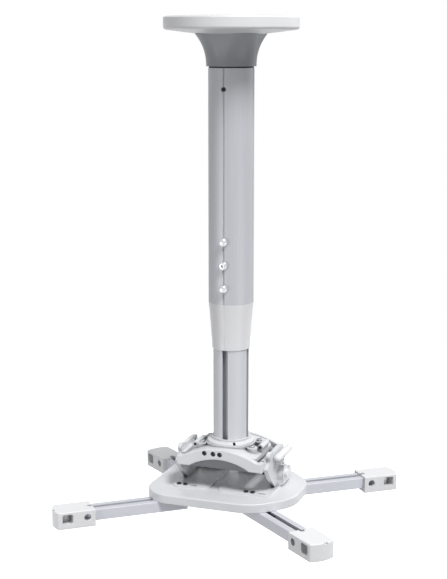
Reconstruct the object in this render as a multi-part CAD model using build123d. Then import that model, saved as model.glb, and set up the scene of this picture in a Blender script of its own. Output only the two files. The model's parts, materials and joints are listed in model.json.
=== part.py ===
from build123d import *
import math
import os

# Ceiling mount for a projector: a telescopic column under a round ceiling cover,
# a head that swivels, rolls and tilts, and a base plate with four slotted arms.
# Millimetres. The origin is the centre of the ceiling plate's top face, +Z is up
# and the front of the mount faces -Y, so everything hangs at negative heights.

# General fits
TOUCH = 0.2
BODY_GAP = 0.3
RUN_FIT = 0.06
SLIDE_FIT = 0.08
THREAD_FIT = 0.02

# Ceiling plate and its socket
CEILING_PLATE_T = 4.0
ANCHOR_CIRCLE = 140.0
ANCHOR_HOLE_R = 4.25
ANCHOR_COUNT = 4
PLATE_CABLE_R = 20.0
SOCKET_FLANGE_R = 46.0
SOCKET_FLANGE_T = 5.0
SOCKET_WALL = 4.0
SOCKET_BOTTOM = -112.0
SOCKET_SCREW_CIRCLE_R = 38.0
SOCKET_SCREW_R = 3.0
SOCKET_SCREW_HEAD_R = 5.0
SOCKET_SCREW_HEAD_T = 3.3

# Ceiling cover
COVER_R = 95.0
COVER_TOP = -0.5
COVER_RIM_BOTTOM = -18.0
COVER_RIM_ROUND = 4.0
COVER_EDGE_ROUND = 2.0
COVER_WALL = 2.5
COVER_SLOPE = 7.3

# Neck fairing between the cover and the tube
NECK_TOP = -24.0
NECK_BOTTOM = -68.5
NECK_TOP_HALF = 45.0
NECK_TOP_CORNER = 25.0
NECK_BOTTOM_HALF = 34.9
NECK_BOTTOM_CORNER = 33.4
NECK_FLARE_POWER = 2.3
NECK_STEPS = 5
NECK_WALL = 2.2
NECK_FLANGE_T = 2.0
NECK_FLANGE_REACH = 4.0
NECK_FLOOR_T = 2.5

# Outer tube
TUBE_R = 32.5
TUBE_WALL = 3.0
TUBE_TOP = -70.5
TUBE_BOTTOM = -403.0
GROOVE_W = 3.0
GROOVE_DEPTH = 1.3
LOCK_HOLE_Z = -99.5
LOCK_HOLE_R = 3.6
LOCK_SCREW_R = 3.0
GASKET_INSET = 1.0

# Collar at the mouth of the tube
COLLAR_LENGTH = 68.0
COLLAR_MOUTH_WALL = 1.5
COLLAR_WAIST_WALL = 3.4
COLLAR_SPIGOT = 15.0
COLLAR_LIP_ROUND = 0.6
COLLAR_GROOVE_DEPTH = 0.7

# Clamp bolts through the front of the tube
CLAMP_RISES = (90.3, 56.8, 23.4)
CLAMP_BOLT_R = 3.0
CLAMP_HOLE_R = 3.3
CLAMP_HEAD_R = 6.8
CLAMP_HEAD_T = 7.0
CLAMP_DOME_ROUND = 5.5
CLAMP_MIDDLE_HEAD_R = 6.4
CLAMP_MIDDLE_HEAD_T = 5.0
CLAMP_MIDDLE_ROUND = 3.0
CLAMP_SOCKET_ACROSS = 4.0
CLAMP_SOCKET_DEPTH = 3.0
CLAMP_NUT_LENGTH = 14.0

# Inner column, an extrusion with four slots
COLUMN_TOP = -202.0
COLUMN_BORE_R = 12.0
SLOT_MOUTH = 8.5
SLOT_LIP = 3.0
SLOT_CAVITY_W = 14.0
SLOT_CAVITY_DEPTH = 5.0
BUSH_WALL = 3.5
BUSH_LENGTH = 18.0
BUSH_KEY_DEPTH = 2.5

# Swivel collar at the foot of the column
RING_TOP = -603.5
RING_TOP_WALL = 2.8
RING_SLOPE_TOP = -606.0
RING_SLOPE_BOTTOM = -608.8
RING_BOTTOM = -612.0
RING_LIP = 4.5
HUB_WALL = 4.0
HUB_BOTTOM = -631.0
COLUMN_SEAT = -624.0
HUB_BORE_R = 11.0
RETAINER_LIP = 5.0
RETAINER_T = 3.0
RETAINER_SCREW_CIRCLE_R = 20.0
RETAINER_SCREW_R = 2.0
RING_SCREW_ANGLE = -62.0
RING_SCREW_R = 2.0
RING_SCREW_Z = -608.4

# Roll joint: saddle above and shoe below an arched yoke
RAIL_CROWN_Z = -618.3
RAIL_ARC_R = 112.7
RAIL_T = 4.0
SADDLE_PLATE_T = 5.3
SADDLE_HALF_X = 51.0
SADDLE_HALF_Y = 44.5
SADDLE_CORNER = 12.0
SADDLE_HUB_WALL = 6.3
SADDLE_BOSS_X = 38.5
SADDLE_BOSS_Y = 17.0
SADDLE_BOSS_R = 8.0
SADDLE_BOSS_TOP = -614.0
SADDLE_SCREW_R = 2.5
SADDLE_SCREW_HEAD_R = 4.3
SADDLE_SCREW_HEAD_T = 3.0
SADDLE_SCREW_END = -637.0
ADJUSTER_X = 47.7
ADJUSTER_Z = -616.5
ADJUSTER_R = 4.4
ADJUSTER_LENGTH = 30.0
ADJUSTER_SHIFT = 8.0
ADJUSTER_SCREW_R = 2.2
SHOE_HALF_X = 45.0
SHOE_HALF_Y = 43.5
SHOE_BOTTOM = -643.0

# Yoke
BAND_ABOVE_RAIL = 6.8
BAND_OUT_Y = 53.0
BAND_IN_Y = 45.0
YOKE_HALF_X = 65.0
SHOULDER_TOP = -626.0
SHOULDER_BOTTOM = -640.0
SHOULDER_IN_X = 59.0
SHOULDER_ROUND = 7.0
ARCH_CROWN = -627.0
ARCH_HALF_X = 46.0
RAIL_IN_Y = 38.0
BAND_EDGE_ROUND = 1.5
BAND_HOLES_X = (-22.0, -8.6, 1.4)
BAND_HOLE_Z = -618.8
BAND_HOLE_R = 3.6
BAND_HOLE_DEPTH = 5.0
SHOULDER_SCREW_Y = 38.0
SHOULDER_SCREW_R = 2.0

# Tilt joint
TILT_Z = -633.0
TILT_PIN_R = 4.0
TILT_BOSS_R = 9.0
CHEEK_T = 6.0
CHEEK_KNEE_ROUND = 4.0
CHEEK_FRONT_Y = -6.0
CHEEK_BACK_Y = 36.0
CHEEK_EDGE_Y = (-31.0, -45.0, -29.0, -37.0, -24.0, -12.0, 10.0, 32.0, 34.0)
CHEEK_EDGE_RISE = (-20.0, -4.0, 4.0, 15.5, 17.5, 14.0, 15.5, 14.5, -12.0)
GUIDE_RADIUS = 24.0
GUIDE_SWEEP = 18.0
GUIDE_SCREW_R = 2.5
GUIDE_SLOT_R = 2.9
LEVER_HUB_R = 8.5
LEVER_HUB_T = 9.0
LEVER_BAR_R = 5.6
LEVER_BAR_FRONT = -15.0
LEVER_BAR_BACK = 42.0
LEVER_BAR_RISE = 6.0
PIN_CAP_R = 6.0
PIN_CAP_T = 3.0

# Foot plates of the cradle, on the base plate
PAD_T = 2.5
PAD_HALF_Y = 49.0
PAD_ROUND = 9.0
REAR_WALL_T = 2.5
REAR_WALL_TOP = -658.0
REAR_WALL_ROUND = 6.0
LEFT_PAD = (-75.5, -20.0)
RIGHT_PAD = (-4.0, 75.5)
PAD_SCREW_Y = 42.0
LEFT_PAD_SCREWS = (-66.0, -56.0)
RIGHT_PAD_SCREWS = (38.0, 48.0)
LEFT_SLOT_SHIFT = 13.0
RIGHT_SLOT_SHIFT = 14.0
PAD_SCREW_R = 2.0
PAD_SCREW_HEAD_R = 3.4
PAD_SCREW_HEAD_T = 1.8
PAD_SLOT_LENGTH = 11.0
PAD_SLOT_W = 3.2

# Release housing and button, outside the right cheek
HOUSING_T = 9.0
HOUSING_STEP = 1.0
HOUSING_FRONT_Y = 13.0
HOUSING_BACK_Y = 34.0
HOUSING_FRONT_R = 12.5
HOUSING_BACK_R = 9.5
HOUSING_FRONT_Z = -657.0
HOUSING_BACK_Z = -661.0
BUTTON_R = 6.5
BUTTON_PROUD = 4.0
BUTTON_TRAVEL = 3.0
BUTTON_DEPTH = 4.0

# Base plate, a shallow ribbed tray
BASE_TOP = -676.0
BASE_HALF_X = 110.0
BASE_HALF_Y = 88.0
BASE_LEFT_CHAMFER = 27.0
BASE_LEFT_ROUND = 38.0
BASE_RIGHT_CHAMFER = 48.0
BASE_RIGHT_ROUND = 60.0
BASE_DEPTH = 13.0
BASE_SKIN = 3.2
BASE_SKIRT = 4.0
BASE_EDGE_ROUND = 1.6
BASE_RIB_T = 3.0
BASE_RIB_X = 35.0
BASE_RIB_Y = 28.0
PIVOT_RADIUS = 95.0
PIVOT_BOSS_R = 12.0

# Arms and feet
ARM_NAMES = ("back_right", "back_left", "front_left", "front_right")
ARM_ANGLES = (38.5, 141.5, 219.5, 319.5)
FOOT_STARTS = (209.0, 174.0, 211.0, 190.0)
ARM_W = 28.0
ARM_H = 16.0
ARM_LENGTH = 154.0
ARM_TOP_WALL = 3.0
ARM_SIDE_WALL = 2.5
ARM_FLOOR = 2.5
ARM_SLOT_W = 7.5
ARM_FLOOR_SLOT_W = 13.0
ARM_SLOT_START = 6.5
ARM_SLOT_INTO_FOOT = 8.0
ARM_INTO_FOOT = 15.0
ARM_CLEAR = 0.3
BLOCK_LENGTH = 26.0
BLOCK_H = 6.0
NOSE_LENGTH = 14.0
ARM_SCREW_R = 3.0
ARM_SCREW_HEAD_R = 5.5
ARM_SCREW_HEAD_T = 4.0
ARM_SCREW_TOP = -680.0
FOOT_LENGTH = 58.0
FOOT_W = 39.0
FOOT_H = 24.5
FOOT_OVER_ARM = 2.6
FOOT_BULGE = 5.0
FOOT_CORNER = 3.0
FOOT_EDGE_ROUND = 1.2
WINDOW_LENGTH = 15.5
WINDOW_H = 14.0
WINDOW_FROM_END = 18.0
WINDOW_ROUND = 3.0
SIDE_HOLE_R = 5.0
SIDE_HOLE_FROM_START = 11.5
INSERT_R = 6.4
INSERT_NECK_R = 4.6
INSERT_BORE_R = 3.0
INSERT_CHAMFER = 1.0
INSERT_CAP_T = 2.0
INSERT_RECESS = 0.5
TOP_NOTCH_W = 6.0
TOP_NOTCH_DEPTH = 2.2

# Sizes worked out from the ones above
TUBE_BORE_R = TUBE_R - TUBE_WALL
SOCKET_R = TUBE_BORE_R - SLIDE_FIT
SOCKET_BORE_R = SOCKET_R - SOCKET_WALL
COLUMN_R = TUBE_BORE_R - BUSH_WALL
COLLAR_BOTTOM = TUBE_BOTTOM - COLLAR_LENGTH
COLLAR_BOTTOM_R = COLUMN_R + COLLAR_MOUTH_WALL
COLLAR_WAIST_R = COLUMN_R + COLLAR_WAIST_WALL
CLAMP_HEIGHTS = [TUBE_BOTTOM + rise for rise in CLAMP_RISES]
RING_TOP_R = COLUMN_R + RING_TOP_WALL
HUB_R = COLUMN_R + HUB_WALL
RING_R = HUB_R + RING_LIP
RETAINER_R = HUB_R + RETAINER_LIP
SADDLE_HUB_R = HUB_R + SADDLE_HUB_WALL
ROLL_AXIS_Z = RAIL_CROWN_Z - RAIL_ARC_R
SADDLE_TOP_ARC_R = RAIL_ARC_R + SADDLE_PLATE_T
BAND_TOP_ARC_R = RAIL_ARC_R + BAND_ABOVE_RAIL
CEILING_PLATE_R = COVER_R - COVER_WALL - TOUCH
FLANGE_BOTTOM = -CEILING_PLATE_T - SOCKET_FLANGE_T
SEAT_SLOPE = math.tan(math.radians(COVER_SLOPE))
SADDLE_SEAT_Z = RING_BOTTOM - BODY_GAP
SADDLE_HUB_BOTTOM = HUB_BOTTOM + BODY_GAP
SADDLE_BOTTOM_ARC_R = RAIL_ARC_R + BODY_GAP
SHOE_ARC_R = RAIL_ARC_R - RAIL_T - BODY_GAP
CHEEK_IN_X = YOKE_HALF_X + BODY_GAP
CHEEK_OUT_X = CHEEK_IN_X + CHEEK_T
PAD_TOP = BASE_TOP + PAD_T
BASE_BOTTOM = BASE_TOP - BASE_DEPTH
ARM_TOP = BASE_BOTTOM - ARM_CLEAR
ARM_BOTTOM = ARM_TOP - ARM_H
CAVITY_TOP = ARM_TOP - ARM_TOP_WALL
CAVITY_BOTTOM = ARM_BOTTOM + ARM_FLOOR
BLOCK_TOP = CAVITY_TOP - BODY_GAP
BLOCK_BOTTOM = BLOCK_TOP - BLOCK_H
FOOT_TOP = ARM_TOP + FOOT_OVER_ARM
FOOT_BOTTOM = FOOT_TOP - FOOT_H


# Basic shapes

def disc(radius, top, bottom, x=0.0, y=0.0):
    return Pos(x, y, (top + bottom) / 2) * Cylinder(radius, abs(top - bottom))


def ring(outer, inner, top, bottom):
    return disc(outer, top, bottom) - disc(inner, top, bottom)


def block(x0, x1, y0, y1, z0, z1):
    centre = Pos((x0 + x1) / 2, (y0 + y1) / 2, (z0 + z1) / 2)
    return centre * Box(abs(x1 - x0), abs(y1 - y0), abs(z1 - z0))


def rod_x(radius, x0, x1, y, z):
    return Pos((x0 + x1) / 2, y, z) * Rot(0, 90, 0) * Cylinder(radius, abs(x1 - x0))


def rod_y(radius, y0, y1, x, z):
    return Pos(x, (y0 + y1) / 2, z) * Rot(90, 0, 0) * Cylinder(radius, abs(y1 - y0))


def slab(outline, top, bottom):
    return Pos(0, 0, bottom) * extrude(outline, top - bottom)


def side_slab(outline, x0, x1):
    """A profile drawn as (y, z), made solid between two values of x."""
    return Pos(x0, 0, 0) * extrude(Plane.YZ * outline, x1 - x0)


def front_slab(outline, y0, y1):
    """A profile drawn as (x, z), made solid between two values of y."""
    return Pos(0, y1, 0) * extrude(Plane.XZ * outline, y1 - y0)


def hex_socket(across, depth):
    """A six-sided recess below z = 0."""
    return Pos(0, 0, -depth) * extrude(RegularPolygon(across / math.sqrt(3), 6), depth)


def cap_screw(shank_r, shank_length, head_r, head_t, edge=0.6):
    """A socket screw: the head stands above z = 0 and the shank runs down."""
    head = disc(head_r, head_t, 0)
    head = chamfer(head.edges().group_by(Axis.Z)[-1], edge)
    head -= Pos(0, 0, head_t) * hex_socket(head_r, head_t * 0.55)
    return head + disc(shank_r, 0, -shank_length)


def ring_sector(outer, inner, half_x):
    """Part of a ring about the roll axis, as wide as half_x each side, drawn as (x, z)."""
    centre = Pos(0, ROLL_AXIS_Z)
    strip = Pos(0, ROLL_AXIS_Z + outer / 2 + 1) * Rectangle(2 * half_x, outer + 2)
    return (centre * Circle(outer) - centre * Circle(inner)) & strip


def under_arc(radius, half_x, bottom):
    """The area below an arc about the roll axis, drawn as (x, z)."""
    above = ROLL_AXIS_Z + radius + 5
    strip = Pos(0, (above + bottom) / 2) * Rectangle(2 * half_x, above - bottom)
    return (Pos(0, ROLL_AXIS_Z) * Circle(radius)) & strip


def save(name, shape):
    export_step(shape, f"parts/{name}.step")


def save_group(name, shapes):
    export_step(Compound(children=list(shapes)), f"parts/{name}.step")


# Ceiling plate, socket and cover

def ceiling_plate():
    plate = disc(CEILING_PLATE_R, 0, -CEILING_PLATE_T)
    plate -= disc(PLATE_CABLE_R, 0, -CEILING_PLATE_T)
    for spot in PolarLocations(ANCHOR_CIRCLE / 2, ANCHOR_COUNT):
        plate -= spot * disc(ANCHOR_HOLE_R, 0, -CEILING_PLATE_T)
    for spot in PolarLocations(SOCKET_SCREW_CIRCLE_R, 4, 45):
        plate -= spot * disc(SOCKET_SCREW_R + THREAD_FIT, 0, -CEILING_PLATE_T)
    return plate


def tube_socket():
    socket = disc(SOCKET_FLANGE_R, -CEILING_PLATE_T, FLANGE_BOTTOM)
    socket += disc(SOCKET_R, FLANGE_BOTTOM, SOCKET_BOTTOM)
    socket -= disc(SOCKET_BORE_R, -CEILING_PLATE_T, SOCKET_BOTTOM)
    for spot in PolarLocations(SOCKET_SCREW_CIRCLE_R, 4, 45):
        socket -= spot * disc(SOCKET_SCREW_R + THREAD_FIT, -CEILING_PLATE_T, FLANGE_BOTTOM)
    socket -= rod_y(LOCK_SCREW_R + THREAD_FIT, -SOCKET_R - 1, 0, 0, LOCK_HOLE_Z)
    return socket


def socket_screws():
    length = SOCKET_FLANGE_T + CEILING_PLATE_T
    screw = cap_screw(SOCKET_SCREW_R, length, SOCKET_SCREW_HEAD_R, SOCKET_SCREW_HEAD_T)
    upside_down = Pos(0, 0, FLANGE_BOTTOM) * Rot(180, 0, 0)
    return [spot * upside_down * screw for spot in PolarLocations(SOCKET_SCREW_CIRCLE_R, 4, 45)]


def cover_body(radius, top, rim_bottom, rim_round):
    """A drum with a shallow cone under it."""
    cone_depth = radius * SEAT_SLOPE
    drum = disc(radius, top, rim_bottom)
    cone = Pos(0, 0, rim_bottom - cone_depth / 2) * Rot(180, 0, 0) * Cone(radius, 0.01, cone_depth)
    body = drum + cone
    rim = body.edges().filter_by(GeomType.CIRCLE).sort_by(Axis.Z)
    rim = [edge for edge in rim if abs(edge.center().Z - rim_bottom) < 0.01]
    return fillet(rim, rim_round)


def ceiling_cover():
    body = cover_body(COVER_R, COVER_TOP, COVER_RIM_BOTTOM, COVER_RIM_ROUND)
    body = fillet(body.edges().group_by(Axis.Z)[-1], COVER_EDGE_ROUND)
    inner_bottom = COVER_RIM_BOTTOM + COVER_WALL
    inner_round = COVER_RIM_ROUND - COVER_WALL
    inner = cover_body(COVER_R - COVER_WALL, 1, inner_bottom, inner_round)
    hole = slab(neck_outline(NECK_TOP_HALF + BODY_GAP, NECK_TOP_CORNER), 0, NECK_TOP - 20)
    return body - inner - hole


# Neck fairing

def neck_outline(half, corner):
    return RectangleRounded(2 * half, 2 * half, corner)


def neck_loft(inset):
    """The flared body, shrunk by the inset on every side."""
    sections = []
    for step in range(NECK_STEPS + 1):
        part = step / NECK_STEPS
        swell = part ** NECK_FLARE_POWER
        half = NECK_BOTTOM_HALF + (NECK_TOP_HALF - NECK_BOTTOM_HALF) * swell
        corner = NECK_BOTTOM_CORNER + (NECK_TOP_CORNER - NECK_BOTTOM_CORNER) * swell
        height = NECK_BOTTOM + (NECK_TOP - NECK_BOTTOM) * part
        sections.append(Pos(0, 0, height) * neck_outline(half - inset, corner - inset))
    return loft(sections)


def neck_fairing():
    # The flange rests on the slope inside the cover, just outside the cover's opening.
    flange_half = NECK_TOP_HALF + NECK_FLANGE_REACH
    flange_corner = NECK_TOP_CORNER + NECK_FLANGE_REACH
    flange_far = flange_half * math.sqrt(2) - flange_corner * (math.sqrt(2) - 1)
    slope_drop = (COVER_R - COVER_WALL - flange_far) * SEAT_SLOPE
    flange_bottom = COVER_RIM_BOTTOM + COVER_WALL - slope_drop + BODY_GAP
    flange_top = flange_bottom + NECK_FLANGE_T
    body = neck_loft(0) + slab(neck_outline(NECK_TOP_HALF, NECK_TOP_CORNER), flange_top, NECK_TOP)
    body += slab(neck_outline(flange_half, flange_corner), flange_top, flange_bottom)
    hollow = neck_loft(NECK_WALL)
    hollow &= block(-100, 100, -100, 100, NECK_BOTTOM + NECK_FLOOR_T, NECK_TOP)
    inner = neck_outline(NECK_TOP_HALF - NECK_WALL, NECK_TOP_CORNER - NECK_WALL)
    body -= hollow + slab(inner, flange_top, NECK_TOP)
    return body - disc(SOCKET_R + TOUCH, NECK_TOP, NECK_BOTTOM)


# Outer tube, its collar and the clamp

def groove_profile(depth):
    half = GROOVE_W / 2
    return make_face(Polyline((-half, 0.5), (half, 0.5), (half, 0), (0, -depth), (-half, 0), close=True))


def tube_groove(depth, radius, top, bottom):
    """A shallow V along the tube's front, with its edges on the given radius."""
    wedge = slab(Rot(0, 0, 180) * groove_profile(depth), top, bottom)
    return Pos(0, -radius, 0) * wedge


def outer_tube():
    tube = ring(TUBE_R, TUBE_BORE_R, TUBE_TOP, TUBE_BOTTOM)
    groove = tube_groove(GROOVE_DEPTH, TUBE_R, TUBE_TOP, TUBE_BOTTOM)
    for turn in range(4):
        tube -= Rot(0, 0, 90 * turn) * groove
    tube -= rod_y(LOCK_HOLE_R, -TUBE_R - 1, 0, 0, LOCK_HOLE_Z)
    for height in CLAMP_HEIGHTS:
        tube -= rod_y(CLAMP_HOLE_R, -TUBE_R - 1, 0, 0, height)
    return tube


def tube_gasket():
    return ring(TUBE_R - GASKET_INSET, SOCKET_R + TOUCH, NECK_BOTTOM, TUBE_TOP)


def tube_lock_screw():
    body = rod_y(LOCK_SCREW_R, -TUBE_R + TUBE_WALL / 2, -SOCKET_BORE_R, 0, LOCK_HOLE_Z)
    recess = Pos(0, -TUBE_R + TUBE_WALL / 2, LOCK_HOLE_Z) * Rot(90, 0, 0) * hex_socket(3.0, 2.5)
    return body - recess


def tube_collar():
    bore = COLUMN_R + SLIDE_FIT
    spigot_r = TUBE_BORE_R - SLIDE_FIT
    spigot_top = TUBE_BOTTOM + COLLAR_SPIGOT
    middle = (TUBE_BOTTOM + COLLAR_BOTTOM) / 2
    side = ThreePointArc((TUBE_R, TUBE_BOTTOM), (COLLAR_WAIST_R, middle), (COLLAR_BOTTOM_R, COLLAR_BOTTOM))
    rest = Polyline((COLLAR_BOTTOM_R, COLLAR_BOTTOM), (bore, COLLAR_BOTTOM), (bore, spigot_top),
                    (spigot_r, spigot_top), (spigot_r, TUBE_BOTTOM), (TUBE_R, TUBE_BOTTOM))
    collar = revolve(Plane.XZ * make_face(side + rest), Axis.Z)
    lip = collar.edges().group_by(Axis.Z)[0].sort_by(SortBy.RADIUS)[-1]
    collar = fillet(lip, COLLAR_LIP_ROUND)
    # The groove of the tube runs on down the tapered collar.
    lean = math.degrees(math.atan2(TUBE_R - COLLAR_BOTTOM_R, TUBE_BOTTOM - COLLAR_BOTTOM))
    length = TUBE_BOTTOM - COLLAR_BOTTOM
    wedge = slab(Rot(0, 0, 180) * groove_profile(COLLAR_GROOVE_DEPTH), 0, -length - 2)
    for turn in range(4):
        collar -= Rot(0, 0, 90 * turn) * Pos(0, -TUBE_R, TUBE_BOTTOM) * Rot(lean, 0, 0) * wedge
    return collar


def domed_head(radius, height, dome):
    head = disc(radius, height, 0)
    return fillet(head.edges().group_by(Axis.Z)[-1], dome)


def clamp_bolt(height):
    """A bolt with a domed head. The middle one has a socket in it."""
    if height == CLAMP_HEIGHTS[1]:
        head = domed_head(CLAMP_MIDDLE_HEAD_R, CLAMP_MIDDLE_HEAD_T, CLAMP_MIDDLE_ROUND)
        head -= Pos(0, 0, CLAMP_MIDDLE_HEAD_T) * hex_socket(CLAMP_SOCKET_ACROSS, CLAMP_SOCKET_DEPTH)
    else:
        head = domed_head(CLAMP_HEAD_R, CLAMP_HEAD_T, CLAMP_DOME_ROUND)
    tip_y = COLUMN_R - SLOT_LIP - SLOT_CAVITY_DEPTH + BODY_GAP
    bolt = head + disc(CLAMP_BOLT_R, 0, tip_y - TUBE_R)
    return Pos(0, -TUBE_R, height) * Rot(90, 0, 0) * bolt


def clamp_nut(height):
    """A nut that slides in the column's front slot."""
    front = -(COLUMN_R - SLOT_LIP) + TOUCH
    back = -(COLUMN_R - SLOT_LIP - SLOT_CAVITY_DEPTH) - TOUCH
    half = SLOT_CAVITY_W / 2 - BODY_GAP
    nut = block(-half, half, front, back, height - CLAMP_NUT_LENGTH / 2, height + CLAMP_NUT_LENGTH / 2)
    return nut - rod_y(CLAMP_BOLT_R + THREAD_FIT, front - 1, back + 1, 0, height)


# Inner column

def column_slot():
    """The slot at the front of the column's section."""
    mouth = Pos(0, -COLUMN_R + SLOT_LIP / 2) * Rectangle(SLOT_MOUTH, SLOT_LIP + 2)
    cavity_y = -COLUMN_R + SLOT_LIP + SLOT_CAVITY_DEPTH / 2
    return mouth + Pos(0, cavity_y) * Rectangle(SLOT_CAVITY_W, SLOT_CAVITY_DEPTH)


def inner_column():
    section = Circle(COLUMN_R) - Circle(COLUMN_BORE_R)
    for turn in range(4):
        section -= Rot(0, 0, 90 * turn) * column_slot()
    return slab(section, COLUMN_TOP, COLUMN_SEAT)


def guide_bush():
    """A plastic ring at the top of the column that runs in the tube."""
    bottom = COLUMN_TOP - BUSH_LENGTH
    bush = ring(TUBE_BORE_R - SLIDE_FIT, COLUMN_R + THREAD_FIT, COLUMN_TOP, bottom)
    half = SLOT_MOUTH / 2 - TOUCH
    key = block(-half, half, -COLUMN_R - 1, -COLUMN_R + BUSH_KEY_DEPTH, bottom, COLUMN_TOP)
    for turn in range(4):
        bush += Rot(0, 0, 90 * turn) * key
    return bush


# Swivel

def swivel_collar():
    seat_r = COLUMN_R + THREAD_FIT
    outline = Polyline((seat_r, RING_TOP), (RING_TOP_R, RING_TOP), (RING_TOP_R, RING_SLOPE_TOP),
                       (RING_R, RING_SLOPE_BOTTOM), (RING_R, RING_BOTTOM), (HUB_R, RING_BOTTOM),
                       (HUB_R, HUB_BOTTOM), (HUB_BORE_R, HUB_BOTTOM), (HUB_BORE_R, COLUMN_SEAT),
                       (seat_r, COLUMN_SEAT), close=True)
    collar = revolve(Plane.XZ * make_face(outline), Axis.Z)
    for spot in PolarLocations(RETAINER_SCREW_CIRCLE_R, 3, 90):
        collar -= spot * disc(RETAINER_SCREW_R + THREAD_FIT, COLUMN_SEAT, HUB_BOTTOM)
    return collar - ring_screw_body(RING_SCREW_R + THREAD_FIT, RING_R + 1)


def ring_screw_body(radius, end):
    return Rot(0, 0, RING_SCREW_ANGLE) * rod_x(radius, COLUMN_R + TOUCH, end, 0, RING_SCREW_Z)


def swivel_set_screw():
    body = ring_screw_body(RING_SCREW_R, RING_TOP_R + 3)
    recess = Pos(RING_TOP_R + 3, 0, RING_SCREW_Z) * Rot(0, 90, 0) * hex_socket(2.0, 2.0)
    return body - Rot(0, 0, RING_SCREW_ANGLE) * recess


def swivel_retainer():
    plate = ring(RETAINER_R, HUB_BORE_R + 1, HUB_BOTTOM, HUB_BOTTOM - RETAINER_T)
    for spot in PolarLocations(RETAINER_SCREW_CIRCLE_R, 3, 90):
        plate -= spot * disc(RETAINER_SCREW_R + TOUCH, HUB_BOTTOM, HUB_BOTTOM - RETAINER_T)
    return plate


def retainer_screws():
    length = RETAINER_T + (COLUMN_SEAT - HUB_BOTTOM) - 1
    screw = cap_screw(RETAINER_SCREW_R, length, 3.6, 2.2, 0.4)
    upside_down = Pos(0, 0, HUB_BOTTOM - RETAINER_T) * Rot(180, 0, 0)
    return [spot * upside_down * screw for spot in PolarLocations(RETAINER_SCREW_CIRCLE_R, 3, 90)]


# Roll joint

def four_corners(x, y):
    return [Pos(sx * x, sy * y, 0) for sx in (-1, 1) for sy in (-1, 1)]


def roll_saddle():
    crown = front_slab(under_arc(SADDLE_TOP_ARC_R, 70, SHOE_BOTTOM), -60, 60)
    plan = RectangleRounded(2 * SADDLE_HALF_X, 2 * SADDLE_HALF_Y, SADDLE_CORNER)
    body = crown & slab(plan, SADDLE_SEAT_Z + 5, SHOE_BOTTOM)
    for spot in four_corners(SADDLE_BOSS_X, SADDLE_BOSS_Y):
        body += spot * disc(SADDLE_BOSS_R, SADDLE_BOSS_TOP, SHOE_BOTTOM)
    for sign in (-1, 1):
        body += adjuster_boss(sign)
    body += disc(SADDLE_HUB_R, SADDLE_SEAT_Z, SHOE_BOTTOM)
    body -= front_slab(under_arc(SADDLE_BOTTOM_ARC_R, 70, SHOE_BOTTOM - 1), -60, 60)
    body += disc(SADDLE_HUB_R, SADDLE_SEAT_Z, SADDLE_HUB_BOTTOM)
    body -= disc(HUB_R + RUN_FIT, SADDLE_SEAT_Z + 1, SADDLE_HUB_BOTTOM - 1)
    for spot in four_corners(SADDLE_BOSS_X, SADDLE_BOSS_Y):
        body -= spot * disc(SADDLE_SCREW_R + TOUCH, SADDLE_BOSS_TOP + 1, SHOE_BOTTOM)
        body -= spot * disc(SADDLE_SCREW_HEAD_R + TOUCH, SADDLE_SEAT_Z + 1, SADDLE_BOSS_TOP)
    for sign in (-1, 1):
        body -= adjuster_body(sign, ADJUSTER_SCREW_R + THREAD_FIT)
    return body


def adjuster_boss(sign):
    """A small round boss that lies along the saddle's left or right edge."""
    middle = sign * ADJUSTER_SHIFT
    start = middle - ADJUSTER_LENGTH / 2
    end = middle + ADJUSTER_LENGTH / 2
    x = sign * ADJUSTER_X
    boss = rod_y(ADJUSTER_R, start, end, x, ADJUSTER_Z)
    inner = x - sign * (ADJUSTER_R - 0.6)
    outer = sign * (SADDLE_HALF_X - 0.5)
    return boss + block(inner, outer, start, end, ADJUSTER_Z - 9, ADJUSTER_Z)


def adjuster_body(sign, radius):
    end = sign * ADJUSTER_SHIFT - ADJUSTER_LENGTH / 2
    return rod_y(radius, end, end + 12, sign * ADJUSTER_X, ADJUSTER_Z)


def adjuster_screws():
    return [adjuster_body(sign, ADJUSTER_SCREW_R) - Pos(0, -10.8, 0) * adjuster_body(sign, 1.2)
            for sign in (-1, 1)]


def roll_shoe():
    body = front_slab(under_arc(SHOE_ARC_R, SHOE_HALF_X, SHOE_BOTTOM), -SHOE_HALF_Y, SHOE_HALF_Y)
    body -= disc(SADDLE_HUB_R + BODY_GAP, ROLL_AXIS_Z + SHOE_ARC_R + 1, SHOE_BOTTOM)
    for spot in four_corners(SADDLE_BOSS_X, SADDLE_BOSS_Y):
        body -= spot * disc(SADDLE_SCREW_R + THREAD_FIT, SADDLE_BOSS_TOP, SADDLE_SCREW_END - 1)
    return body


def saddle_screws():
    length = SADDLE_BOSS_TOP - SADDLE_SCREW_END
    screw = cap_screw(SADDLE_SCREW_R, length, SADDLE_SCREW_HEAD_R, SADDLE_SCREW_HEAD_T)
    return [Pos(0, 0, SADDLE_BOSS_TOP) * spot * screw for spot in four_corners(SADDLE_BOSS_X, SADDLE_BOSS_Y)]


# Yoke

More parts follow.
